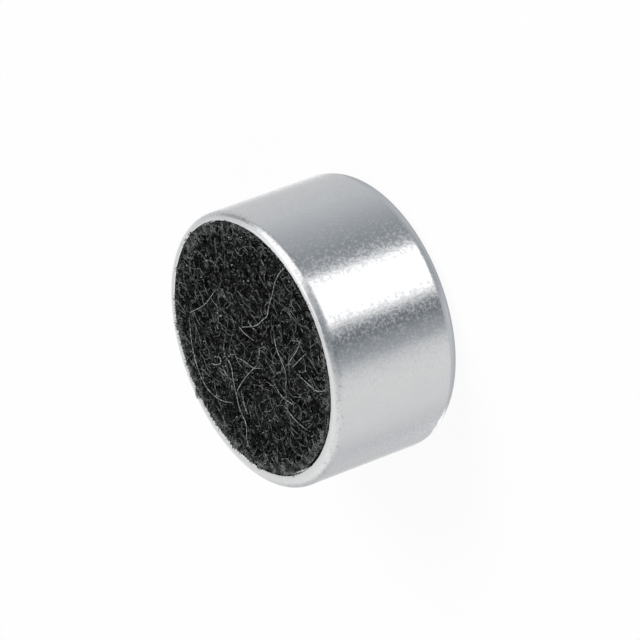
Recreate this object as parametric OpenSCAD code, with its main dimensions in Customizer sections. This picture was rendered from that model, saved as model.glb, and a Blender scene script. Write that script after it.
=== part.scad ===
// Electret microphone capsule, 9.7 mm across: a drawn can closed by its circuit board.
// Z runs along the axis. The capsule stands on its curled rear bead with the cloth up. Sizes in mm.

/* [Case] */
// Outside diameter of the can
case_d = 9.7; // [9.4:0.1:10.6]
// Height from the rear bead to the front lip
case_h = 5.2; // [4.6:0.1:6.8]
// Sheet thickness of the can
case_wall = 0.3; // [0.2:0.05:0.4]
// Outside radius of the front edge
nose_r = 0.34; // [0.2:0.02:0.36]
// Width of the front lip round the cloth
lip_w = 0.38; // [0.36:0.02:0.6]
// Depth of the front face below the lip
face_depth = 0.25; // [0.2:0.05:0.4]
// Outside radius of the curled rear bead
crimp_r = 0.6; // [0.5:0.05:0.7]
// Diameter of a sound hole
sound_hole_d = 0.8; // [0.4:0.1:1]
// Pitch circle of the outer sound holes
sound_hole_pcd = 3.2; // [2.6:0.1:3.8]
// Number of sound holes round the middle one
sound_hole_count = 6; // [3:1:6]

/* [Dust cloth] */
// Thickness of the cloth
cloth_t = 0.2; // [0.1:0.05:0.35]
// Rounding of the cloth's cut edge
cloth_edge_r = 0.08; // [0.02:0.02:0.08]
// Thickness of the adhesive ring under the cloth
adhesive_t = 0.03; // [0.02:0.01:0.1]
// Step from the cloth's edge in to the adhesive
adhesive_inset = 0.2; // [0.1:0.05:0.5]
// Bare face between the sound holes and the adhesive
adhesive_land = 0.3; // [0.1:0.05:0.6]

/* [Diaphragm and back plate] */
// Thickness of the ring that carries the diaphragm
polar_ring_t = 0.5; // [0.3:0.05:0.8]
// Radial width of that ring
polar_ring_w = 0.6; // [0.4:0.05:1]
// Thickness of the diaphragm film
diaphragm_t = 0.02; // [0.01:0.01:0.05]
// Thickness of the spacer, which is the air gap
spacer_t = 0.05; // [0.03:0.01:0.1]
// Lap of the spacer over the back plate's edge
spacer_lap = 0.15; // [0.1:0.05:0.4]
// Thickness of the electret film
electret_t = 0.03; // [0.02:0.01:0.06]
// Thickness of the back plate
plate_t = 0.35; // [0.25:0.05:0.5]
// Diameter of a hole in the back plate
plate_hole_d = 0.9; // [0.5:0.1:1.2]
// Pitch circle of the back plate's holes
plate_hole_pcd = 4.4; // [3.6:0.1:5]
// Number of holes in the back plate
plate_hole_count = 6; // [4:1:6]

/* [Chamber and gate ring] */
// Radial wall of the chamber
chamber_wall = 0.8; // [0.7:0.05:1.1]
// Width of the chamber's ledge under the back plate
chamber_ledge = 0.35; // [0.2:0.05:0.4]
// Radial wall of the gate ring
gate_ring_wall = 0.25; // [0.15:0.05:0.35]

/* [Circuit board] */
// Thickness of the laminate
board_t = 0.6; // [0.4:0.1:1]
// Thickness of the copper foil
foil_t = 0.04; // [0.02:0.01:0.07]
// Distance between the two terminals
terminal_pitch = 2.54; // [2.2:0.02:3]
// Diameter of a terminal pad
terminal_d = 1.7; // [1.2:0.1:1.9]
// Width of the track from the ground pad to its ring
track_w = 0.7; // [0.4:0.1:1]
// Height of the solder on a terminal
solder_h = 0.3; // [0.15:0.05:0.45]
// Outside diameter of a plated via
via_d = 0.5; // [0.4:0.05:0.7]
// Thickness of the plating in a via
via_plating = 0.06; // [0.03:0.01:0.1]

/* [Transistor] */
// Length of the moulded body
fet_l = 2.9; // [2:0.1:3]
// Width of the moulded body
fet_w = 1.3; // [1:0.1:1.5]
// Height of the moulded body
fet_h = 1; // [0.7:0.05:1.1]
// Gap between the body and the foil
fet_standoff = 0.1; // [0.05:0.01:0.15]
// Mould draft on each side of the body
fet_draft = 0.08; // [0.04:0.02:0.12]
// Distance between the drain lead and the source lead
lead_pitch = 1.9; // [1.3:0.1:2]
// Distance across the lead tips
lead_span = 2.4; // [2.2:0.1:2.6]
// Width of a lead
lead_w = 0.42; // [0.3:0.02:0.5]
// Thickness of a lead
lead_t = 0.12; // [0.08:0.01:0.15]
// Length of a lead's foot
lead_foot = 0.3; // [0.2:0.05:0.35]

/* [Chip capacitors] */
// Length of a capacitor over its ends
cap_l = 1; // [0.9:0.1:1.6]
// Width and height of a capacitor
cap_w = 0.5; // [0.4:0.05:0.6]
// Length of the metal on each end
cap_end = 0.25; // [0.2:0.05:0.3]
// Thickness of the metal on each end
cap_plating = 0.03; // [0.02:0.01:0.05]
// Gap between neighbouring components
cap_gap = 0.4; // [0.35:0.05:0.5]

/* [Hidden] */
$fn = 96;
// Clearances and margins that hold for any size
stack_clearance = 0.05;
seat_clearance = 0.03;
track_gap = 0.2;
pad_margin = 0.12;
fillet_cap = 0.2;
lead_embed = 0.25;
over = 1;

case_r = case_d / 2;
bore_r = case_r - case_wall;
bead_r = case_r - crimp_r;
lip_r = case_r - lip_w;
cloth_r = lip_r - seat_clearance;
adhesive_outer_r = cloth_r - adhesive_inset;
adhesive_inner_r = (sound_hole_pcd + sound_hole_d) / 2 + adhesive_land;

stack_r = bore_r - stack_clearance;
chamber_bore_r = stack_r - chamber_wall;
pocket_r = chamber_bore_r + chamber_ledge;
plate_r = pocket_r - seat_clearance;
gate_ring_r = chamber_bore_r - seat_clearance;
gate_bore_r = gate_ring_r - gate_ring_wall;
gate_track_r = gate_bore_r - pad_margin;
land_r = gate_track_r - track_gap;

// Levels along the axis, from the rear
rear_foil_z = crimp_r;
board_z = rear_foil_z + foil_t;
board_top_z = board_z + board_t;
foil_top_z = board_top_z + foil_t;
face_z = case_h - face_depth;
cloth_z = face_z + adhesive_t;
polar_top_z = face_z - case_wall;
diaphragm_top_z = polar_top_z - polar_ring_t;
spacer_top_z = diaphragm_top_z - diaphragm_t;
chamber_top_z = spacer_top_z - spacer_t;
plate_top_z = chamber_top_z - electret_t;
plate_z = plate_top_z - plate_t;

// Places on the inner side of the board: the transistor over the two capacitors
group_l = lead_span + 2 * (cap_gap + cap_w);
fet_y = (group_l - lead_span) / 2;
filter_y = fet_y - lead_span / 2 - cap_gap - cap_w / 2;
bypass_y = filter_y - cap_gap - cap_w;
terminal_x = terminal_pitch / 2;
via_r = via_d / 2;
via_bore_r = via_r - via_plating;

// A plain ring that stands on height z
module ring_at(z, outer_r, inner_r, h) {
    translate([0, 0, z])
        linear_extrude(h)
            difference() {
                circle(outer_r);
                circle(inner_r);
            }
}

// A quarter disc in the first quadrant
module quarter(r) {
    intersection() {
        circle(r);
        square(r);
    }
}

// Copies of a shape spread evenly on a pitch circle
module on_circle(pcd, count) {
    for (i = [0 : count - 1])
        rotate(i * 360 / count)
            translate([pcd / 2, 0])
                children();
}

// Half section of the can: lip, recessed face, wall and the bead curled in through half a turn
module case_section() {
    difference() {
        union() {
            translate([0, crimp_r])
                square([case_r, case_h - nose_r - crimp_r]);
            translate([0, case_h - nose_r])
                square([case_r - nose_r, nose_r]);
            translate([case_r - nose_r, case_h - nose_r])
                quarter(nose_r);
        }
        translate([-over, face_z])
            square([lip_r + over, face_depth + over]);
        translate([-over, crimp_r - over])
            square([bore_r + over, polar_top_z - crimp_r + over]);
    }
    translate([bead_r, crimp_r])
        difference() {
            circle(crimp_r);
            circle(crimp_r - case_wall);
            translate([-crimp_r - over, 0])
                square([2 * (crimp_r + over), crimp_r + over]);
        }
}

module case() {
    color("silver")
        difference() {
            rotate_extrude()
                case_section();
            translate([0, 0, polar_top_z - over])
                linear_extrude(case_wall + 2 * over) {
                    circle(d = sound_hole_d);
                    on_circle(sound_hole_pcd, sound_hole_count)
                        circle(d = sound_hole_d);
                }
        }
}

module dust_cloth() {
    color([0.1, 0.1, 0.11])
        translate([0, 0, cloth_z])
            rotate_extrude() {
                square([cloth_r, cloth_t - cloth_edge_r]);
                translate([0, cloth_t - cloth_edge_r])
                    square([cloth_r - cloth_edge_r, cloth_edge_r]);
                translate([cloth_r - cloth_edge_r, cloth_t - cloth_edge_r])
                    quarter(cloth_edge_r);
            }
}

module cloth_adhesive() {
    color([0.86, 0.84, 0.78])
        ring_at(face_z, adhesive_outer_r, adhesive_inner_r, adhesive_t);
}

module polar_ring() {
    color([0.8, 0.7, 0.42])
        ring_at(diaphragm_top_z, stack_r, stack_r - polar_ring_w, polar_ring_t);
}

module diaphragm() {
    color([0.84, 0.84, 0.86])
        translate([0, 0, spacer_top_z])
            cylinder(h = diaphragm_t, r = stack_r);
}

module spacer() {
    color([0.93, 0.93, 0.9])
        ring_at(chamber_top_z, stack_r, plate_r - spacer_lap, spacer_t);
}

// Outline shared by the back plate and the film on it
module plate_outline() {
    difference() {
        circle(plate_r);
        on_circle(plate_hole_pcd, plate_hole_count)
            circle(d = plate_hole_d);
    }
}

module electret_film() {
    color([0.78, 0.84, 0.88])
        translate([0, 0, plate_top_z])
            linear_extrude(electret_t)
                plate_outline();
}

module back_plate() {
    color([0.83, 0.73, 0.45])
        translate([0, 0, plate_z])
            linear_extrude(plate_t)
                plate_outline();
}

module chamber() {
    color([0.9, 0.89, 0.84])
        difference() {
            ring_at(board_top_z, stack_r, chamber_bore_r, chamber_top_z - board_top_z);
            translate([0, 0, plate_z])
                cylinder(h = chamber_top_z - plate_z + over, r = pocket_r);
        }
}

module gate_ring() {
    color([0.82, 0.72, 0.44])
        ring_at(foil_top_z, gate_ring_r, gate_bore_r, plate_z - foil_top_z);
}

module circuit_board() {
    color([0.16, 0.36, 0.22])
        translate([0, 0, board_z])
            linear_extrude(board_t)
                difference() {
                    circle(stack_r);
                    for (side = [-1, 1])
                        translate([side * terminal_x, 0])
                            circle(via_r);
                }
}

module gate_copper() {
    color([0.78, 0.5, 0.3])
        translate([0, 0, board_top_z])
            linear_extrude(foil_t) {
                difference() {
                    circle(gate_ring_r);
                    circle(gate_track_r);
                }
                intersection() {
                    circle(gate_ring_r);
                    translate([-lead_w / 2 - pad_margin, fet_y + lead_span / 2 - lead_foot - pad_margin])
                        square([lead_w + 2 * pad_margin, stack_r]);
                }
            }
}

// Land on the +X side that joins a transistor lead, both capacitors and a via
module land() {
    reach_x = max(terminal_x + via_r, cap_l / 2 + fillet_cap) + pad_margin;
    low_y = bypass_y - cap_w / 2 - pad_margin;
    difference() {
        intersection() {
            circle(land_r);
            translate([cap_l / 2 - cap_end - pad_margin / 2, low_y])
                square([reach_x - cap_l / 2 + cap_end + pad_margin / 2, via_r + pad_margin - low_y]);
        }
        translate([terminal_x, 0])
            circle(via_bore_r);
    }
}

module output_copper() {
    color([0.78, 0.5, 0.3])
        translate([0, 0, board_top_z])
            linear_extrude(foil_t)
                land();
}

module ground_copper() {
    color([0.78, 0.5, 0.3])
        translate([0, 0, board_top_z])
            linear_extrude(foil_t)
                mirror([1, 0])
                    land();
}

module output_pad() {
    color([0.8, 0.55, 0.34])
        translate([0, 0, rear_foil_z])
            linear_extrude(foil_t)
                translate([terminal_x, 0])
                    difference() {
                        circle(d = terminal_d);
                        circle(via_bore_r);
                    }
}

// The ground pad runs out to the ring that the curled bead presses on
module ground_pad() {
    ring_inner_r = case_r - 2 * crimp_r - pad_margin;
    color([0.8, 0.55, 0.34])
        translate([0, 0, rear_foil_z])
            linear_extrude(foil_t)
                difference() {
                    union() {
                        translate([-terminal_x, 0])
                            circle(d = terminal_d);
                        difference() {
                            circle(stack_r - pad_margin);
                            circle(ring_inner_r);
                        }
                        translate([-ring_inner_r - pad_margin, -track_w / 2])
                            square([ring_inner_r + pad_margin - terminal_x, track_w]);
                    }
                    translate([-terminal_x, 0])
                        circle(via_bore_r);
                }
}

module via(side) {
    color([0.78, 0.5, 0.3])
        translate([side * terminal_x, 0, 0])
            ring_at(board_z, via_r, via_bore_r, board_t);
}

module output_via() {
    via(1);
}

module ground_via() {
    via(-1);
}

// Block with mould draft both ways from its parting line
module drafted(l, w, h) {
    intersection() {
        rotate([90, 0, 0])
            linear_extrude(2 * w, center = true)
                drafted_face(l, h);
        rotate([90, 0, 90])
            linear_extrude(2 * l, center = true)
                drafted_face(w, h);
    }
}

module drafted_face(w, h) {
    narrow = w / 2 - fet_draft;
    polygon([[-narrow, 0], [narrow, 0], [w / 2, h / 2], [narrow, h], [-narrow, h], [-w / 2, h / 2]]);
}

// Gull-wing lead that leaves the body towards +Y
module lead() {
    tip = lead_span / 2;
    heel = tip - lead_foot;
    root = fet_w / 2 - lead_embed;
    knee = (fet_w / 2 + heel) / 2;
    level = fet_standoff + fet_h / 2;
    rotate([90, 0, 90])
        linear_extrude(lead_w, center = true)
            polygon([
                [root, level - lead_t / 2], [knee - lead_t / 2, level - lead_t / 2],
                [heel - lead_t / 2, 0], [tip, 0], [tip, lead_t], [heel + lead_t / 2, lead_t],
                [knee + lead_t / 2, level + lead_t / 2], [root, level + lead_t / 2]
            ]);
}

// The transistor's place on the foil
module at_fet() {
    translate([0, fet_y, foil_top_z])
        children();
}

// Drain lead with side 1, source lead with side -1
module lower_lead(side) {
    translate([side * lead_pitch / 2, 0, 0])
        rotate(180)
            lead();
}

module fet_body() {
    color([0.13, 0.13, 0.14])
        at_fet()
            difference() {
                translate([0, 0, fet_standoff])
                    drafted(fet_l, fet_w, fet_h);
                lead();
                lower_lead(1);
                lower_lead(-1);
            }
}

module fet_gate_lead() {
    color([0.82, 0.82, 0.82])
        at_fet()
            lead();
}

module fet_drain_lead() {
    color([0.82, 0.82, 0.82])
        at_fet()
            lower_lead(1);
}

module fet_source_lead() {
    color([0.82, 0.82, 0.82])
        at_fet()
            lower_lead(-1);
}

// Bar of ceramic inside the metal ends
module capacitor_core() {
    bar = cap_w - 2 * cap_plating;
    translate([0, 0, cap_w / 2])
        cube([cap_l - 2 * cap_plating, bar, bar], center = true);
}

module capacitor_ends() {
    difference() {
        for (side = [-1, 1])
            translate([side * (cap_l - cap_end) / 2, 0, cap_w / 2])
                cube([cap_end, cap_w, cap_w], center = true);
        capacitor_core();
    }
}

module at_filter() {
    translate([0, filter_y, foil_top_z])
        children();
}

module at_bypass() {
    translate([0, bypass_y, foil_top_z])
        children();
}

module filter_capacitor_body() {
    color([0.62, 0.5, 0.38])
        at_filter()
            capacitor_core();
}

module filter_capacitor_ends() {
    color([0.8, 0.8, 0.8])
        at_filter()
            capacitor_ends();
}

module bypass_capacitor_body() {
    color([0.7, 0.6, 0.48])
        at_bypass()
            capacitor_core();
}

module bypass_capacitor_ends() {
    color([0.8, 0.8, 0.8])
        at_bypass()
            capacitor_ends();
}

// Concave solder fillet of radius r that climbs a wall on its -X side
module fillet(r, w) {
    rotate([90, 0, 0])
        linear_extrude(w, center = true)
            difference() {
                square(r);
                translate([r, r])
                    circle(r);
            }
}

module fet_solder() {
    color([0.75, 0.76, 0.77])
        at_fet() {
            translate([0, lead_span / 2, 0])
                rotate(90)
                    fillet(lead_t, lead_w);
            for (side = [-1, 1])
                translate([side * lead_pitch / 2, -lead_span / 2, 0])
                    rotate(-90)
                        fillet(lead_t, lead_w);
        }
}

module capacitor_fillets() {
    for (turn = [0, 180])
        rotate(turn)
            translate([cap_l / 2, 0, 0])
                fillet(fillet_cap, cap_w);
}

module capacitor_solder() {
    color([0.75, 0.76, 0.77]) {
        at_filter()
            capacitor_fillets();
        at_bypass()
            capacitor_fillets();
    }
}

// Domed solder on a rear terminal
module terminal_solder(side) {
    base_r = terminal_d / 2 - pad_margin / 2;
    dome_r = (base_r * base_r + solder_h * solder_h) / (2 * solder_h);
    color([0.77, 0.78, 0.79])
        translate([side * terminal_x, 0, rear_foil_z])
            intersection() {
                translate([0, 0, dome_r - solder_h])
                    sphere(dome_r);
                translate([0, 0, -2 * solder_h])
                    cylinder(h = 2 * solder_h, r = terminal_d);
            }
}

module output_solder() {
    terminal_solder(1);
}

module ground_solder() {
    terminal_solder(-1);
}

case();
dust_cloth();
cloth_adhesive();
polar_ring();
diaphragm();
spacer();
electret_film();
back_plate();
chamber();
gate_ring();
circuit_board();
gate_copper();
output_copper();
ground_copper();
output_pad();
ground_pad();
output_via();
ground_via();
fet_body();
fet_gate_lead();
fet_drain_lead();
fet_source_lead();
filter_capacitor_body();
filter_capacitor_ends();
bypass_capacitor_body();
bypass_capacitor_ends();
fet_solder();
capacitor_solder();
output_solder();
ground_solder();
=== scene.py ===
import math
import random

import bmesh
import bpy
from mathutils import Matrix, Vector, noise


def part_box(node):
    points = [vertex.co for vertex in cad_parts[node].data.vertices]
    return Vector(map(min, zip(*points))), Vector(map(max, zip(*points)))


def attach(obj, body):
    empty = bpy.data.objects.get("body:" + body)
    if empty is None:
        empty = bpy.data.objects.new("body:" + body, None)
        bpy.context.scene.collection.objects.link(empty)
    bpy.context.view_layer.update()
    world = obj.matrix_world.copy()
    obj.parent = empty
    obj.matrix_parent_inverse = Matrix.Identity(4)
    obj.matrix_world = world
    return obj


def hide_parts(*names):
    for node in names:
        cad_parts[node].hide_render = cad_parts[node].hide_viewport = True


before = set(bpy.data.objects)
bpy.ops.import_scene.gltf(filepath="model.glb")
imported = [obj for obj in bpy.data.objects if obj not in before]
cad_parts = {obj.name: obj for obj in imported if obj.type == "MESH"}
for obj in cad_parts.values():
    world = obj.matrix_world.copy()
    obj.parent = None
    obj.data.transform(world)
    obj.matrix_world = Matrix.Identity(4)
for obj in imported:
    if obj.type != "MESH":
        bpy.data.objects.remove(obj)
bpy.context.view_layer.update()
scene = bpy.context.scene
scene.view_settings.view_transform = "Standard"

# Camera. It looks down on the cloth end from far off through a long lens, at the photograph's
# angle, and is rolled until the cloth faces the lower left.
MM = 0.001
picture_px = 640
px_per_m = 29770
axis_px = Vector((313.5, 329.2))
camera_tilt = math.radians(30.9)
camera_roll = math.radians(-110.15)
camera_distance = 190 * MM
camera_near = 10 * MM
sensor_mm = 36

case_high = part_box("case")[1]
middle = Vector((0, 0, case_high.z / 2))
view_back = Vector((0, -math.cos(camera_tilt), math.sin(camera_tilt)))
view_side = Vector((1, 0, 0))
view_rise = view_back.cross(view_side)
camera_side = view_side * math.cos(camera_roll) + view_rise * math.sin(camera_roll)
camera_rise = view_rise * math.cos(camera_roll) - view_side * math.sin(camera_roll)
axis_off = (axis_px - Vector((picture_px / 2, picture_px / 2))) / px_per_m
camera_place = middle + view_back * camera_distance
camera_place += camera_rise * axis_off.y - camera_side * axis_off.x

camera = bpy.data.objects.new("camera", bpy.data.cameras.new("camera"))
camera.data.sensor_width = sensor_mm
camera.data.lens = sensor_mm * camera_distance * px_per_m / picture_px
camera.data.clip_start = camera_near
camera.matrix_world = (
    Matrix.Translation(camera_place)
    @ Matrix((camera_side, camera_rise, view_back)).transposed().to_4x4()
)
scene.collection.objects.link(camera)
scene.camera = camera


# Stage. A pale floor that keeps a faint shadow, soft lamps for the cloth, and a round tent of
# light that only polished metal sees: a white strip between grey gaps, and patches for the edges.
class Level:
    """A value from a node. Arithmetic on it adds the Math nodes to its finish."""

    def __init__(self, finish, socket):
        self.finish = finish
        self.socket = socket

    def maths(self, operation, *terms):
        return self.finish.node("Math", {"operation": operation}, dict(enumerate(terms)))

    def __add__(self, other):
        return self.maths("ADD", self, other)

    def __sub__(self, other):
        return self.maths("SUBTRACT", self, other)

    def __rsub__(self, other):
        return self.maths("SUBTRACT", other, self)

    def __mul__(self, other):
        return self.maths("MULTIPLY", self, other)

    def __truediv__(self, other):
        return self.maths("DIVIDE", self, other)

    __radd__ = __add__
    __rmul__ = __mul__

    def rise(self, low, high):
        """0 up to low, 1 from high on, smooth between."""
        return self.finish.node(
            "MapRange",
            {"interpolation_type": "SMOOTHSTEP"},
            {"Value": self, "From Min": low, "From Max": high},
        )

    def window(self, start, full, fade, gone):
        """0 up to start, 1 from full to fade, 0 again from gone on."""
        return self.rise(start, full) - self.rise(fade, gone)

    def most(self, other):
        """The larger of the two."""
        return self.maths("MAXIMUM", self, other)


class Finish:
    """The nodes of one material, or of the world."""

    def __init__(self, owner):
        owner.use_nodes = True
        self.owner = owner
        self.tree = owner.node_tree
        self.tree.nodes.clear()

    def node(self, kind, settings=None, sockets=None, output=0):
        made = self.tree.nodes.new("ShaderNode" + kind)
        for name, setting in (settings or {}).items():
            if name == "stops":
                ramp = made.color_ramp.elements
                ramp.remove(ramp[-1])
                ramp[0].position, ramp[0].color = setting[0]
                for place, colour in setting[1:]:
                    ramp.new(place).color = colour
            else:
                setattr(made, name, setting)
        for name, value in (sockets or {}).items():
            if isinstance(value, Level):
                self.tree.links.new(value.socket, made.inputs[name])
            else:
                made.inputs[name].default_value = value
        return Level(self, made.outputs[output]) if made.outputs else None

    def mix(self, share, first, second, blend="MIX"):
        settings = {"data_type": "RGBA", "blend_type": blend}
        return self.node("Mix", settings, {0: share, 6: first, 7: second}, output=2)

    def end(self, shader, kind="OutputMaterial"):
        self.node(kind, None, {"Surface": shader})


def new_finish(name):
    return Finish(bpy.data.materials.new(name))


def add_object(name, mesh, *finishes):
    """Links a mesh to the scene with its finishes in its material slots."""
    for finish in finishes:
        mesh.materials.append(finish.owner)
    piece = bpy.data.objects.new(name, mesh)
    scene.collection.objects.link(piece)
    return piece


def mesh_of(name, bm):
    mesh = bpy.data.meshes.new(name)
    bm.to_mesh(mesh)
    bm.free()
    return mesh


sky = bpy.data.worlds.new("studio_sky")
scene.world = sky
sky_finish = Finish(sky)
seen_directly = sky_finish.node("LightPath", output="Is Camera Ray")
seen_in_metal = sky_finish.node("LightPath", output="Is Glossy Ray")
seen_through = sky_finish.node("LightPath", output="Is Transmission Ray")
sky_seen = seen_directly.most(seen_in_metal).most(seen_through)
sky_fill = 0.45
sky_strength = sky_fill + (1 - sky_fill) * sky_seen
sky_finish.end(
    sky_finish.node("Background", None, {"Color": (1, 1, 1, 1), "Strength": sky_strength}), "OutputWorld"
)

floor_size = 4.0
floor_gap = 0.01 * MM  # keeps the floor off the flat ring under the bead
floor_glow = 0.92
floor_bm = bmesh.new()
bmesh.ops.create_grid(
    floor_bm, x_segments=1, y_segments=1, size=floor_size / 2,
    matrix=Matrix.Translation((0, 0, -floor_gap)),
)
floor_finish = new_finish("pale_floor")
floor_paint = floor_finish.node("BsdfDiffuse", None, {"Color": (0.94, 0.94, 0.94, 1)})
floor_white = floor_finish.node("Emission", None, {"Color": (1, 1, 1, 1), "Strength": 1.0})
floor_share = floor_finish.node("LightPath", output="Is Camera Ray") * floor_glow
floor_top = floor_finish.node("MixShader", None, {0: floor_share, 1: floor_paint, 2: floor_white})
floor_underside = floor_finish.node("NewGeometry", output="Backfacing")
floor_clear = floor_finish.node("BsdfTransparent")
floor_finish.end(
    floor_finish.node("MixShader", None, {0: floor_underside, 1: floor_top, 2: floor_clear})
)
floor = add_object("floor", mesh_of("floor", floor_bm), floor_finish)
floor.visible_glossy = False
floor.visible_shadow = False


def tent_band(finish, turn, stops):
    """Brightness round the tent, bluer where it is dim. Stops are degrees from the front towards +X."""
    ring = []
    for angle, grey in stops:
        cold = max(0, 0.7 - grey)
        red, blue = grey * (1 - 0.18 * cold), grey * (1 + 0.2 * cold)
        ring.append(((angle + 180) / 360, (red, grey, blue, 1)))
    return finish.node("ValToRGB", {"stops": ring}, {0: turn}, output="Color")


def tent_spot(finish, place, aim, start, full):
    """1 in a round spot of the tent, by the cosines to its middle at which it starts and is full."""
    towards = Vector(aim).normalized()
    near = finish.node(
        "VectorMath", {"operation": "DOT_PRODUCT"}, {0: place, 1: towards}, output="Value"
    )
    return near.rise(start, full)


tent_radius = 1.0
tent_bm = bmesh.new()
bmesh.ops.create_uvsphere(tent_bm, u_segments=48, v_segments=24, radius=tent_radius)
tent_finish = new_finish("light_tent")
tent_place = tent_finish.node("TexCoord", output="Object")
tent_x, tent_y, tent_z = (
    tent_finish.node("SeparateXYZ", None, {"Vector": tent_place}, output=axis) for axis in "XYZ"
)
tent_turn = tent_x.maths("ARCTAN2", tent_x, 0 - tent_y) / (2 * math.pi) + 0.5
tent_low = tent_band(tent_finish, tent_turn, [
    (-180, 1.05), (-168, 0.76), (-156, 0.57), (-140, 0.59), (-122, 0.55), (-95, 0.68), (-58, 0.72),
    (-46, 0.67), (-40, 0.57), (-35, 0.37), (-28, 0.32), (-15, 0.16), (-8, 0.29), (-2, 0.85), (3, 1.5),
    (33.5, 1.5), (37, 0.9), (41, 0.35), (54, 0.28), (70, 0.37), (105, 0.57), (150, 0.62), (168, 0.97),
    (180, 1.15),
])
tent_high = tent_band(tent_finish, tent_turn, [
    (-180, 0.72), (-140, 0.86), (-70, 0.73), (-40, 0.53), (-20, 0.3), (0, 0.29), (12, 0.38), (24, 0.55),
    (48, 0.7), (100, 0.8), (138, 0.62), (180, 0.72),
])
tent_under = tent_band(tent_finish, tent_turn, [
    (-180, 0.42), (-130, 0.5), (-60, 0.58), (0, 0.38), (60, 0.38), (100, 0.5), (140, 0.47), (180, 0.42),
])
tent_white = (1.2, 1.2, 1.2, 1)
tent_limit = (0.82, 0.82, 0.83, 1)
gap_grey = (0.37, 0.38, 0.39, 1)
top_grey = (0.85, 0.85, 0.85, 1)
lip_white = (1.0, 1.0, 1.0, 1)

# The wall sees the low band, the nose and the lip the high one. The strip ends early, under the nose.
tent_low = tent_finish.mix(tent_z.rise(-0.42, -0.3), tent_low, tent_limit, "DARKEN")
strip_end = tent_turn.window(0.49, 0.505, 0.6, 0.62) * tent_z.rise(-0.22, -0.02)
tent_light = tent_finish.mix(strip_end.most(tent_z.rise(0.05, 0.35)), tent_low, tent_high)

# Underneath it is dimmer, from higher up behind on the right, with one light for the bead.
tent_depth = tent_z - 0.13 * tent_x.rise(-0.2, 0.0) * tent_y.rise(-0.3, 0.3)
tent_light = tent_finish.mix(tent_depth.rise(-0.65, -0.75), tent_light, tent_under)
bead_light = tent_turn.window(0.03, 0.06, 0.13, 0.16) * tent_z.window(-0.69, -0.63, -0.575, -0.545)
tent_light = tent_finish.mix(bead_light, tent_light, tent_white)

# A grey gap on the right at the height of the nose, then the lights that the lip and the nose catch.
tent_gap = tent_finish.mix(tent_x.rise(0.6, 0.85), tent_light, gap_grey)
tent_light = tent_finish.mix(tent_z.window(-0.3, -0.05, 0.25, 0.4), tent_light, tent_gap)
top_light = tent_spot(tent_finish, tent_place, (0.1, -0.28, 0.95), start=0.97, full=0.985)
tent_light = tent_finish.mix(top_light, tent_light, top_grey)
lip_light = tent_spot(tent_finish, tent_place, (0.36, 0.42, 0.83), start=0.955, full=0.975)
tent_light = tent_finish.mix(lip_light, tent_light, lip_white)
side_light = tent_turn.window(0.595, 0.62, 0.74, 0.79) * tent_z.rise(-0.2, 0.04)
tent_light = tent_finish.mix(side_light, tent_light, tent_white)
tent_finish.end(tent_finish.node("Emission", None, {"Color": tent_light, "Strength": 1.0}))
tent = add_object("tent", mesh_of("tent", tent_bm), tent_finish)
tent.visible_camera = False
tent.visible_diffuse = False
tent.visible_shadow = False
tent.visible_transmission = False


lamp_distance = 0.5


def add_lamp(name, turn, height, watts, size):
    """A square lamp turned to the capsule, so many degrees towards +X and so many up."""
    turn, height = math.radians(turn), math.radians(height)
    aim = Vector((
        math.sin(turn) * math.cos(height), -math.cos(turn) * math.cos(height), math.sin(height)
    ))
    lamp = bpy.data.objects.new(name, bpy.data.lights.new(name, "AREA"))
    lamp.data.energy = watts
    lamp.data.size = size
    lamp.matrix_world = (
        Matrix.Translation(aim * lamp_distance) @ aim.to_track_quat("Z", "Y").to_matrix().to_4x4()
    )
    lamp.visible_glossy = False
    scene.collection.objects.link(lamp)


add_lamp("key_lamp", turn=75, height=48, watts=1.5, size=0.25)
add_lamp("fill_lamp", turn=-50, height=35, watts=0.5, size=0.4)
add_lamp("rear_lamp", turn=-30, height=-50, watts=1.2, size=0.3)


# Case. A can drawn from aluminium sheet, the front face set down inside a narrow lip and drilled
# for sound, the rear edge curled in through half a turn on the board. Satin, as pressed.
def grain(finish, size, detail):
    """Noise whose features are about size across."""
    place = finish.node("TexCoord", output="Object")
    return finish.node("TexNoise", None, {"Vector": place, "Scale": 1 / size, "Detail": detail})


def relief(finish, height, depth):
    """A normal from a height of 0 to 1, with its depth in metres."""
    return finish.node("Bump", None, {"Strength": 1.0, "Distance": depth, "Height": height})


def plain_surface(finish, sockets):
    finish.end(finish.node("BsdfPrincipled", None, sockets))


weld_gap = 1e-7


def turned(bm, steps):
    """Spins the half section in a bmesh into a closed round body about the axis."""
    bmesh.ops.spin(
        bm, geom=bm.verts[:] + bm.edges[:], cent=(0, 0, 0), axis=(0, 0, 1), dvec=(0, 0, 0),
        angle=2 * math.pi, steps=steps, use_merge=True, use_duplicate=False,
    )
    bmesh.ops.remove_doubles(bm, verts=bm.verts[:], dist=weld_gap)
    bmesh.ops.recalc_face_normals(bm, faces=bm.faces[:])


def half_section(corners):
    """Joins corners of (radius, height, rounding, segments) in metres into one rounded line."""
    bm = bmesh.new()
    verts = [bm.verts.new((radius, 0, height)) for radius, height, _, _ in corners]
    for first, second in zip(verts, verts[1:]):
        bm.edges.new((first, second))
    for vert, (_, _, rounding, segments) in zip(verts, corners):
        if rounding:
            bmesh.ops.bevel(
                bm, geom=[vert], offset=rounding, affect="VERTICES", segments=segments,
                profile=0.5, material=-1, clamp_overlap=False,
            )
    bmesh.ops.remove_doubles(bm, verts=bm.verts[:], dist=weld_gap)
    return bm


def smooth(mesh, angle):
    """Shades a mesh smooth, with edges sharper than the angle in degrees kept."""
    mesh.shade_smooth()
    mesh.set_sharp_from_angle(angle=math.radians(angle))


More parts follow.
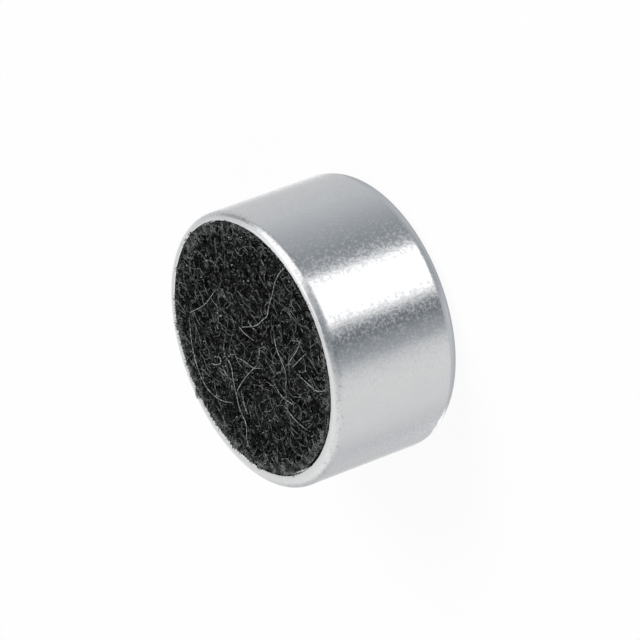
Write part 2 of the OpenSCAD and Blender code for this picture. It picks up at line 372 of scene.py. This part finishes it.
case_r = case_high.x
case_h = case_high.z
case_wall = 0.3 * MM
case_sides = 256
nose_r = 0.34 * MM
lip_r = case_r - 0.4 * MM
lip_edge = 0.04 * MM
lip_shift = Vector((0.105, -0.105, 0)) * MM
face_z = case_h - 0.25 * MM
crimp_r = 0.6 * MM
curl_r = crimp_r - case_wall
bore_r = case_r - case_wall
bore_edge = 0.08 * MM
bead_r = case_r - crimp_r
bead_round = 0.9999 * crimp_r  # a bevel exactly as long as its edge would stop short
inside_z = face_z - case_wall
case_bm = half_section([
    (0, inside_z, 0, 0),
    (bore_r, inside_z, bore_edge, 4),
    (bore_r, crimp_r - curl_r, curl_r, 12),
    (bead_r - curl_r, crimp_r - curl_r, curl_r, 12),
    (bead_r - curl_r, crimp_r, 0, 0),
    (bead_r - crimp_r, crimp_r, 0, 0),
    (bead_r - crimp_r, 0, crimp_r, 20),
    (case_r, 0, bead_round, 20),
    (case_r, case_h, nose_r, 14),
    (lip_r, case_h, lip_edge, 4),
    (lip_r, face_z, 0, 0),
    (0, face_z, 0, 0),
])
turned(case_bm, case_sides)
# The opening lies a little off centre. The lip takes that up, and the wall stays round.
for vert in case_bm.verts:
    edge_share = (case_r - vert.co.xy.length) / (case_r - lip_r)
    if vert.co.z > face_z - case_wall / 2 and edge_share < 1.01:
        vert.co += lip_shift * edge_share

sound_hole_r = 0.4 * MM
sound_hole_ring = 1.6 * MM
sound_hole_sides = 40
sound_hole_places = [Vector((0, 0, face_z))]
for i in range(6):
    hole_turn = Matrix.Rotation(i * math.pi / 3, 3, "Z")
    sound_hole_places.append(hole_turn @ Vector((sound_hole_ring, 0, face_z)))
drill_bm = bmesh.new()
for place in sound_hole_places:
    bmesh.ops.create_cone(
        drill_bm, cap_ends=True, segments=sound_hole_sides, radius1=sound_hole_r,
        radius2=sound_hole_r, depth=4 * case_wall, matrix=Matrix.Translation(place),
    )
drill = add_object("drill", mesh_of("drill", drill_bm))
blank = add_object("case_blank", mesh_of("case_blank", case_bm))
cut = blank.modifiers.new("sound_holes", "BOOLEAN")
cut.object = drill
cut.solver = "EXACT"
bpy.context.view_layer.update()
drilled = blank.evaluated_get(bpy.context.evaluated_depsgraph_get())
case_mesh = bpy.data.meshes.new_from_object(drilled)
case_mesh.name = "case_shell"
bpy.data.objects.remove(blank)
bpy.data.objects.remove(drill)
smooth(case_mesh, angle=40)

aluminium = new_finish("satin_aluminium")
pressed_grain = grain(aluminium, 0.1 * MM, 5.0)
pressed_ripple = grain(aluminium, 0.6 * MM, 2.0)
case_place = aluminium.node("TexCoord", output="Object")
up_case = aluminium.node("SeparateXYZ", None, {"Vector": case_place}, output="Z")
scuff_band = [case_h - depth * MM for depth in (0.36, 0.24, 0.1, 0)]
scuffs = grain(aluminium, 0.14 * MM, 3.0).rise(0.52, 0.66) * up_case.window(*scuff_band)
scuffed_metal = (0.4, 0.42, 0.44, 1)
bare_metal = aluminium.mix(pressed_ripple, (0.834, 0.838, 0.847, 1), (0.897, 0.899, 0.905, 1))
plain_surface(aluminium, {
    "Base Color": aluminium.mix(0.35 * scuffs, bare_metal, scuffed_metal),
    "Metallic": 1.0,
    "Roughness": 0.09 + 0.04 * pressed_ripple + 0.22 * pressed_grain.rise(0.38, 0.68),
    "Normal": relief(aluminium, pressed_grain + 0.5 * pressed_ripple, 0.003 * MM),
})
case_shell = add_object("case_shell", case_mesh, aluminium)
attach(case_shell, "root")
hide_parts("case")


# Polar ring, back plate and gate ring. Stamped brass: the ring holds the film against the face of
# the can, the plate is drilled for air, and the sleeve carries its signal down to the board.
def dress(finish, *names):
    """Gives CAD nodes a finish."""
    for name in names:
        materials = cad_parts[name].data.materials
        materials.clear()
        materials.append(finish.owner)


brass = new_finish("stamped_brass")
brass_tarnish = grain(brass, 0.8 * MM, 3.0)
brass_grain = grain(brass, 0.05 * MM, 2.0)
plain_surface(brass, {
    "Base Color": brass.mix(brass_tarnish, (0.66, 0.47, 0.2, 1), (0.8, 0.63, 0.33, 1)),
    "Metallic": 1.0,
    "Roughness": 0.24 + 0.14 * brass_tarnish,
    "Normal": relief(brass, brass_grain, 0.0015 * MM),
})
dress(brass, "polar_ring", "back_plate", "gate_ring")

# Diaphragm. Polyester film with a coat of metal on it, stretched and glued on the polar ring.
# Nearly a mirror, with the faint waves of a tight film.
film_metal = new_finish("metallised_film")
film_waves = grain(film_metal, 1.6 * MM, 1.0)
plain_surface(film_metal, {
    "Base Color": film_metal.mix(film_waves, (0.78, 0.78, 0.8, 1), (0.88, 0.88, 0.89, 1)),
    "Metallic": 0.9,
    "Roughness": 0.1 + 0.08 * film_waves,
    "Normal": relief(film_metal, film_waves, 0.006 * MM),
})
dress(film_metal, "diaphragm")

# Spacer and electret film. Two die-cut films, a ring that sets the air gap and the charged film
# that is fused on the back plate. Clear and glossy.
film_clear = new_finish("clear_film")
film_haze = grain(film_clear, 0.5 * MM, 2.0)
plain_surface(film_clear, {
    "Base Color": film_clear.mix(film_haze, (0.72, 0.77, 0.8, 1), (0.84, 0.86, 0.86, 1)),
    "Roughness": 0.16 + 0.14 * film_haze,
    "Normal": relief(film_clear, film_haze, 0.003 * MM),
})
dress(film_clear, "spacer", "electret_film")

# Chamber. A moulded ring of pale insulating plastic that carries the back plate on its ledge and
# stands on the board. Fine matt texture from the mould.
plastic = new_finish("pale_plastic")
plastic_texture = grain(plastic, 0.06 * MM, 3.0)
plastic_shade = grain(plastic, 1.2 * MM, 2.0)
plain_surface(plastic, {
    "Base Color": plastic.mix(plastic_shade, (0.7, 0.67, 0.58, 1), (0.8, 0.78, 0.7, 1)),
    "Roughness": 0.5 + 0.15 * plastic_texture,
    "Normal": relief(plastic, plastic_texture, 0.003 * MM),
})
dress(plastic, "chamber")

# Circuit board. A round punched from glass laminate under green lacquer, clamped by the curled
# edge of the can. The weave of the glass shows through the lacquer.
laminate = new_finish("green_laminate")
weave_pitch = 0.42 * MM
weave_place = laminate.node("TexCoord", output="Object")
weave_x, weave_y = (
    laminate.node("SeparateXYZ", None, {"Vector": weave_place}, output=axis) for axis in "XY"
)
warp = weave_x.maths("SINE", weave_x * (2 * math.pi / weave_pitch))
weft = weave_y.maths("SINE", weave_y * (2 * math.pi / weave_pitch))
weave = 0.5 + 0.5 * (warp * weft)
lacquer_shade = grain(laminate, 0.9 * MM, 2.0)
plain_surface(laminate, {
    "Base Color": laminate.mix(
        0.6 * weave + 0.4 * lacquer_shade, (0.028, 0.135, 0.058, 1), (0.055, 0.21, 0.095, 1)
    ),
    "Roughness": 0.3 + 0.15 * lacquer_shade,
    "Coat Weight": 0.4,
    "Coat Roughness": 0.12,
    "Normal": relief(laminate, weave + 0.5 * lacquer_shade, 0.004 * MM),
})
dress(laminate, "circuit_board")

# Foil and vias. Copper etched on both faces of the board, with a plated barrel through it at each
# terminal and a ring at the rear for the can's edge. Slightly tarnished.
copper = new_finish("etched_copper")
copper_tarnish = grain(copper, 0.5 * MM, 4.0)
copper_grain = grain(copper, 0.04 * MM, 2.0)
copper_share = copper_tarnish.rise(0.3, 0.75)
plain_surface(copper, {
    "Base Color": copper.mix(copper_share, (0.78, 0.44, 0.27, 1), (0.55, 0.27, 0.14, 1)),
    "Metallic": 1.0,
    "Roughness": 0.26 + 0.25 * copper_tarnish,
    "Normal": relief(copper, copper_grain + copper_tarnish, 0.002 * MM),
})
dress(
    copper, "gate_copper", "output_copper", "ground_copper", "output_pad", "ground_pad", "output_via",
    "ground_via",
)

# Transistor. A black moulded package with three bent leads of tinned strip, soldered on the inner
# foil. The moulding is matt with a fine spark texture.
moulding = new_finish("black_moulding")
spark_texture = grain(moulding, 0.035 * MM, 3.0)
plain_surface(moulding, {
    "Base Color": moulding.mix(spark_texture, (0.016, 0.016, 0.017, 1), (0.04, 0.04, 0.042, 1)),
    "Roughness": 0.45 + 0.25 * spark_texture,
    "Normal": relief(moulding, spark_texture, 0.003 * MM),
})
dress(moulding, "fet_body")

tinned = new_finish("tinned_strip")
tin_patches = grain(tinned, 0.25 * MM, 3.0)
plain_surface(tinned, {
    "Base Color": tinned.mix(tin_patches, (0.62, 0.62, 0.63, 1), (0.8, 0.8, 0.81, 1)),
    "Metallic": 1.0,
    "Roughness": 0.25 + 0.2 * tin_patches,
    "Normal": relief(tinned, tin_patches, 0.002 * MM),
})
dress(tinned, "fet_gate_lead", "fet_drain_lead", "fet_source_lead")

# Capacitors. Two fired ceramic chips, brown, with tinned metal baked on their ends, soldered flat
# on the inner foil.
ceramic = new_finish("brown_ceramic")
ceramic_speckle = grain(ceramic, 0.05 * MM, 3.0)
plain_surface(ceramic, {
    "Base Color": ceramic.mix(ceramic_speckle, (0.34, 0.22, 0.13, 1), (0.52, 0.38, 0.25, 1)),
    "Roughness": 0.35 + 0.2 * ceramic_speckle,
    "Normal": relief(ceramic, ceramic_speckle, 0.002 * MM),
})
dress(ceramic, "filter_capacitor_body", "bypass_capacitor_body")
dress(tinned, "filter_capacitor_ends", "bypass_capacitor_ends")

# Solder. The fillets inside keep their plain form. The two rear terminals are tinned by hand: low
# domes that wet out to the edge of the pad, a little uneven, with a bright skin.
solder = new_finish("tin_solder")
solder_skin = grain(solder, 0.35 * MM, 3.0)
solder_frost = grain(solder, 0.03 * MM, 2.0)
plain_surface(solder, {
    "Base Color": solder.mix(solder_skin, (0.66, 0.67, 0.69, 1), (0.82, 0.83, 0.84, 1)),
    "Metallic": 1.0,
    "Roughness": 0.14 + 0.22 * solder_skin.rise(0.35, 0.75),
    "Normal": relief(solder, solder_frost + 2.0 * solder_skin, 0.0018 * MM),
})
dress(solder, "fet_solder", "capacitor_solder")

dome_rings = 14
dome_sides = 64
dome_fullness = 1.4
dome_sway = 0.018 * MM
dome_wave = 0.7 * MM
for dome_name in ("output_solder", "ground_solder"):
    dome_low, dome_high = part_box(dome_name)
    dome_r = (dome_high.x - dome_low.x) / 2
    dome_x = (dome_high.x + dome_low.x) / 2
    dome_h = dome_high.z - dome_low.z
    dome_bm = bmesh.new()
    outline = []
    for i in range(dome_rings + 1):
        share = i / dome_rings
        rise = math.cos(share * math.pi / 2) ** dome_fullness
        outline.append(dome_bm.verts.new((dome_r * share, 0, -dome_h * rise)))
    outline.append(dome_bm.verts.new((0, 0, 0)))
    for first, second in zip(outline, outline[1:]):
        dome_bm.edges.new((first, second))
    turned(dome_bm, dome_sides)
    for vert in dome_bm.verts:
        bulge = -vert.co.z / dome_h
        sway = noise.noise_vector(vert.co / dome_wave + Vector((dome_x / MM, 0, 0)))
        vert.co += dome_sway * bulge * sway
        vert.co.z = max(vert.co.z, -dome_h)
    bmesh.ops.translate(dome_bm, verts=dome_bm.verts[:], vec=(dome_x, 0, dome_high.z))
    dome_mesh = mesh_of(dome_name + "_dome", dome_bm)
    smooth(dome_mesh, angle=60)
    dome = add_object(dome_name + "_dome", dome_mesh, solder)
    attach(dome, "root")
    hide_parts(dome_name)

# Cloth adhesive. A ring of double-sided tape on the front face that holds the cloth, clear of the
# sound holes.
tape = new_finish("cream_tape")
tape_fibre = grain(tape, 0.12 * MM, 3.0)
plain_surface(tape, {
    "Base Color": tape.mix(tape_fibre, (0.6, 0.56, 0.46, 1), (0.74, 0.71, 0.62, 1)),
    "Roughness": 0.55 + 0.2 * tape_fibre,
    "Normal": relief(tape, tape_fibre, 0.004 * MM),
})
dress(tape, "cloth_adhesive")


# Dust cloth. A disc punched from black nonwoven felt, a few layers of matted fibre thick, stuck
# down on the front face. Its edge is pinched by the punch, and stray fibres lie across it.
cloth_low, cloth_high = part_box("dust_cloth")
cloth_r = cloth_high.x
cloth_top = cloth_high.z
cloth_shift = Vector((0.125, -0.13, 0)) * MM
cloth_edge = 0.1 * MM
cloth_underlayer = 0.08 * MM
cloth_lump = 0.035 * MM
lump_size = 0.16 * MM
lump_detail = 0.07 * MM
cloth_pinch = 0.3 * MM
pinch_depth = 1.2  # in lumps, like the lift
pinch_lift = 0.4
cloth_trim = 0.988
cloth_rings = 46
cloth_sides = 180
cloth_bm = half_section(
    [(0, cloth_low.z, 0, 0), (cloth_r, cloth_low.z, 0, 0), (cloth_r, cloth_top, cloth_edge, 5)]
    + [(cloth_r * (1 - i / cloth_rings), cloth_top, 0, 0) for i in range(2, cloth_rings + 1)]
)
turned(cloth_bm, cloth_sides)
for vert in cloth_bm.verts:
    if vert.co.z > cloth_low.z + cloth_underlayer:
        flat = Vector((vert.co.x, vert.co.y, 0))
        inset = min(1, (cloth_r - flat.length) / cloth_pinch)
        lumps = noise.noise(flat / lump_size) + 0.6 * noise.noise(flat / lump_detail)
        vert.co.z += cloth_lump * (inset * lumps - pinch_depth + inset * pinch_lift)
bmesh.ops.scale(cloth_bm, verts=cloth_bm.verts[:], vec=(cloth_trim, cloth_trim, 1))
bmesh.ops.translate(cloth_bm, verts=cloth_bm.verts[:], vec=cloth_shift)
cloth_mesh = mesh_of("felt_base", cloth_bm)
smooth(cloth_mesh, angle=60)

felt = new_finish("black_felt")
felt_clump = grain(felt, 0.25 * MM, 3.0)
felt_nap = grain(felt, 0.03 * MM, 2.0)
felt_share = felt_clump.rise(0.35, 0.7)
plain_surface(felt, {
    "Base Color": felt.mix(felt_share, (0.002, 0.002, 0.002, 1), (0.008, 0.008, 0.008, 1)),
    "Roughness": 0.9,
    "Specular IOR Level": 0.0,
    "Normal": relief(felt, felt_nap + felt_clump, 0.03 * MM),
})
felt_base = add_object("felt_base", cloth_mesh, felt)
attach(felt_base, "root")
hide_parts("dust_cloth")


# Felt fibres. Crimped synthetic staple, all black, matted by needles into the cloth. The grey and
# pale fibres are painted sheen: black staple coloured lighter for the light it catches. A few long
# strands lie loose on top and some ends hang over the lip.
def wander(draw, start, heading, length, steps, crimp, reach):
    """A fibre's path in the plane of the cloth, held inside the radius reach."""
    path = []
    x, y = start
    step = length / steps
    bend = draw.gauss(0, crimp)
    for _ in range(steps + 1):
        hold = min(1, reach / max(math.hypot(x, y), 1e-9))
        path.append((x * hold, y * hold))
        x += step * math.cos(heading)
        y += step * math.sin(heading)
        heading += step * (bend + draw.gauss(0, crimp))
    return path


arch_fullness = 0.6


def lay(path, low, top, arches=1):
    """Weaves a path up and down: it dives to low at its ends and between its arches."""
    last = len(path) - 1
    laid = []
    for i, (x, y) in enumerate(path):
        lift = abs(math.sin(arches * math.pi * i / last)) ** arch_fullness
        laid.append((x, y, low + (top - low) * lift))
    return laid


def scatter(draw, count, reach, length, steps, crimp, low, top, arches=1, tuft=1, spread=0):
    """Fibres laid over the cloth, each with its own length and lift, in tufts of so many."""
    laid = []
    for i in range(count):
        if i % tuft == 0:
            radius = reach * math.sqrt(draw.random())
            turn = draw.uniform(0, 2 * math.pi)
        start_x = radius * math.cos(turn) + draw.gauss(0, spread)
        start_y = radius * math.sin(turn) + draw.gauss(0, spread)
        heading = draw.uniform(0, 2 * math.pi)
        path = wander(
            draw, (start_x, start_y), heading, draw.uniform(*length), steps, crimp, reach
        )
        laid.append(lay(path, draw.uniform(*low), draw.uniform(*top), arches))
    return laid


tip_share = 0.7


def fibres(name, paths, thickness, finish, ease=1):
    """One piece of thin fibres through the points of the paths, eased into curves, with thinner tips."""
    curve = bpy.data.curves.new(name, "CURVE")
    curve.dimensions = "3D"
    curve.bevel_depth = thickness / 2
    curve.bevel_resolution = 0
    curve.resolution_u = ease
    curve.use_fill_caps = True
    for path in paths:
        strand = curve.splines.new("BEZIER")
        strand.bezier_points.add(len(path) - 1)
        for i, (point, place) in enumerate(zip(strand.bezier_points, path)):
            point.co = cloth_shift + Vector(place)
            if (point.co - lip_shift).xy.length > lip_r - thickness:
                point.co.z = max(point.co.z, case_h + thickness / 2)
            point.handle_left_type = point.handle_right_type = "AUTO"
            point.radius = tip_share if i in (0, len(path) - 1) else 1
    rod = bpy.data.objects.new(name, curve)
    mesh = bpy.data.meshes.new_from_object(rod)
    bpy.data.objects.remove(rod)
    mesh.name = name
    mesh.materials.clear()
    mesh.shade_smooth()
    piece = add_object(name, mesh, finish)
    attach(piece, "root")


def fibre_finish(name, patch, dark, light, shine):
    """Dull staple, darker and lighter in turn over patches of about this length."""
    made = new_finish(name)
    shade = grain(made, patch, 2.0)
    plain_surface(made, {
        "Base Color": made.mix(shade.rise(0.36, 0.68), dark, light),
        "Roughness": 0.55,
        "Specular IOR Level": shine,
    })
    return made


fibre_reach = cloth_r - 0.06 * MM
top_reach = 0.97 * fibre_reach
draw = random.Random(31)
black_fibre = fibre_finish(
    "black_fibre", 0.3 * MM, (0.006, 0.006, 0.006, 1), (0.018, 0.019, 0.019, 1), shine=0.08
)
nap_fibre = fibre_finish(
    "nap_fibre", 0.2 * MM, (0.0055, 0.0058, 0.0058, 1), (0.118, 0.125, 0.124, 1), shine=0.08
)
# Painted sheen: black staple coloured grey for the light that catches it.
grey_sheen_fibre = fibre_finish(
    "grey_sheen_fibre", 0.22 * MM, (0.02, 0.0213, 0.0213, 1), (0.19, 0.2, 0.198, 1), shine=0.2
)
# Painted sheen and glints: black staple coloured pale for the light that catches it.
pale_sheen_fibre = fibre_finish(
    "pale_sheen_fibre", 0.1 * MM, (0.12, 0.125, 0.125, 1), (0.5, 0.52, 0.52, 1), shine=0.3
)
mat_low = (cloth_top - 0.12 * MM, cloth_top - 0.06 * MM)
fibres(
    "felt_mat",
    scatter(
        draw, count=2800, reach=fibre_reach, length=(0.5 * MM, 1.3 * MM), steps=7, crimp=3000,
        low=mat_low, top=(cloth_top - 0.06 * MM, cloth_top + 0.01 * MM), arches=2,
    ),
    thickness=0.036 * MM, finish=black_fibre,
)
fibres(
    "felt_nap",
    scatter(
        draw, count=5600, reach=fibre_reach, length=(0.07 * MM, 0.22 * MM), steps=3, crimp=9000,
        low=mat_low, top=(cloth_top - 0.05 * MM, cloth_top + 0.02 * MM), tuft=3, spread=0.06 * MM,
    ),
    thickness=0.048 * MM, finish=nap_fibre,
)
fibres(
    "felt_curls",
    scatter(
        draw, count=230, reach=top_reach, length=(0.4 * MM, 1.6 * MM), steps=10, crimp=1900,
        low=(cloth_top - 0.06 * MM, cloth_top), top=(cloth_top, cloth_top + 0.04 * MM),
    ),
    thickness=0.03 * MM, finish=grey_sheen_fibre,
)
# Tiny pale ends: painted glints, fibre tips coloured pale for the light they catch.
fibres(
    "felt_glint_ends",
    scatter(
        draw, count=60, reach=top_reach, length=(0.03 * MM, 0.08 * MM), steps=2, crimp=3000,
        low=(cloth_top - 0.01 * MM, cloth_top + 0.02 * MM),
        top=(cloth_top + 0.02 * MM, cloth_top + 0.04 * MM),
    ),
    thickness=0.042 * MM, finish=pale_sheen_fibre,
)

long_strands = [
    [(1.69, 3.23), (1.09, 3.51), (0.63, 3.68), (-0.03, 3.79), (-0.53, 3.75), (-0.94, 3.54),
     (-1.29, 3.11), (-1.54, 2.42)],
    [(0.57, 1.54), (0.12, 1.81), (-0.28, 1.66), (-0.79, 1.83), (-1.34, 1.99), (-1.79, 2.1),
     (-2.34, 2.06), (-2.85, 2.38), (-3.15, 2.44)],
    [(2.1, -3.89), (2.01, -3.49), (1.77, -2.98), (1.48, -2.62), (0.99, -1.95), (0.84, -1.79),
     (0.75, -1.38), (0.65, -0.86), (0.76, 0.12)],
    [(0.1, -1.63), (-0.34, -1.57), (-0.89, -1.62), (-1.23, -1.56), (-1.63, -1.19)],
    [(0.86, 0.33), (0.56, 0.07), (0.21, -0.29)],
    [(-0.3, -3.2), (-0.54, -2.9), (-0.79, -2.28), (-0.94, -1.82)],
    [(-0.79, -3.2), (-0.98, -2.48), (-1.08, -2.02)],
    [(-1.33, -2.22), (-1.77, -2.73), (-2.06, -3.08), (-2.16, -3.68)],
    [(-0.04, -0.49), (-0.29, -0.38), (-0.49, -0.02)],
    [(-0.59, 0.04), (-0.84, 0.93), (-1.14, 1.72), (-1.29, 2.04)],
    [(-0.18, 2.24), (-0.59, 2.09), (-0.79, 1.99)],
    [(0.9, -0.4), (0.7, -0.55), (0.45, -0.7)],
    [(2.22, 1.0), (1.93, 1.84), (1.84, 3.07)],
    [(-1.34, 1.62), (-1.69, 1.68), (-2.04, 1.79)],
    [(-1.38, -0.58), (-1.88, -0.88), (-2.27, -1.34)],
    [(-2.18, -0.72), (-2.77, -1.18), (-3.21, -1.59)],
    [(0.17, 2.61), (-0.03, 2.13), (-0.13, 2.46), (-0.03, 2.88)],
    [(-0.09, 1.24), (-0.34, 0.71), (-0.64, 0.3), (-0.74, -0.07)],
]
strand_paths = []
for strand in long_strands:
    path = [(x * MM, y * MM) for x, y in strand]
    strand_paths.append(lay(path, cloth_top, cloth_top + draw.uniform(0.03, 0.06) * MM))
fibres("felt_strands", strand_paths, thickness=0.032 * MM, finish=pale_sheen_fibre, ease=5)

# Where the fuzz gathers: degrees round the cloth, and how far it spreads.
edge_bands = ((0, 24), (175, 36), (112, 38), (0, 24), (175, 36), (238, 16), (175, 36))
edge_count = 1400
edge_paths = []
for i in range(edge_count):
    turn = math.radians(draw.gauss(*edge_bands[i % len(edge_bands)]))
    root_r = cloth_r - abs(draw.gauss(0, 0.17)) * MM
    path = wander(
        draw, (root_r * math.cos(turn), root_r * math.sin(turn)), draw.uniform(0, 2 * math.pi),
        draw.uniform(0.1, 0.35) * MM, steps=4, crimp=4500, reach=fibre_reach,
    )
    edge_paths.append(lay(path, cloth_top - 0.05 * MM, cloth_top + draw.uniform(-0.01, 0.03) * MM))
fibres("felt_edge", edge_paths, thickness=0.03 * MM, finish=grey_sheen_fibre)

# Two tufts in three hang out on the side where the cloth's edge is loose, the others all round.
fringe_tufts = 190
fringe_paths = []
for i in range(fringe_tufts):
    loose_side = i % 3 > 0
    tuft_turn = math.radians(draw.gauss(112, 38)) if loose_side else draw.uniform(0, 2 * math.pi)
    tuft_out = draw.uniform(-0.05, 0.16 if loose_side else 0.07) * MM
    for _ in range(draw.randint(1, 5)):
        turn = tuft_turn + draw.gauss(0, 0.025)
        root_r = cloth_r - draw.uniform(0.08, 0.25) * MM
        path = wander(
            draw, (root_r * math.cos(turn), root_r * math.sin(turn)), turn + draw.gauss(0, 0.7),
            cloth_r - root_r + tuft_out * draw.uniform(0.3, 1), steps=3, crimp=2600,
            reach=cloth_r + 0.2 * MM,
        )
        tip_z = case_h + draw.uniform(0.01, 0.04) * MM
        heights = (cloth_top - 0.04 * MM, case_h, tip_z, tip_z + draw.uniform(-0.01, 0.02) * MM)
        fringe_paths.append([(x, y, z) for (x, y), z in zip(path, heights)])
# One bundle of ends leans out over the lip.
for i in range(6):
    aside = 0.05 * i - 0.1
    stray_end = [
        (-0.55 + aside, 4.05, cloth_top), (-0.72 + aside, 4.36, case_h + 0.02 * MM),
        (-0.95 + 0.6 * aside, 4.5 + 0.03 * (i % 3), case_h + 0.05 * MM),
    ]
    fringe_paths.append([(x * MM, y * MM, z) for x, y, z in stray_end])
fibres("felt_fringe", fringe_paths, thickness=0.028 * MM, finish=grey_sheen_fibre)
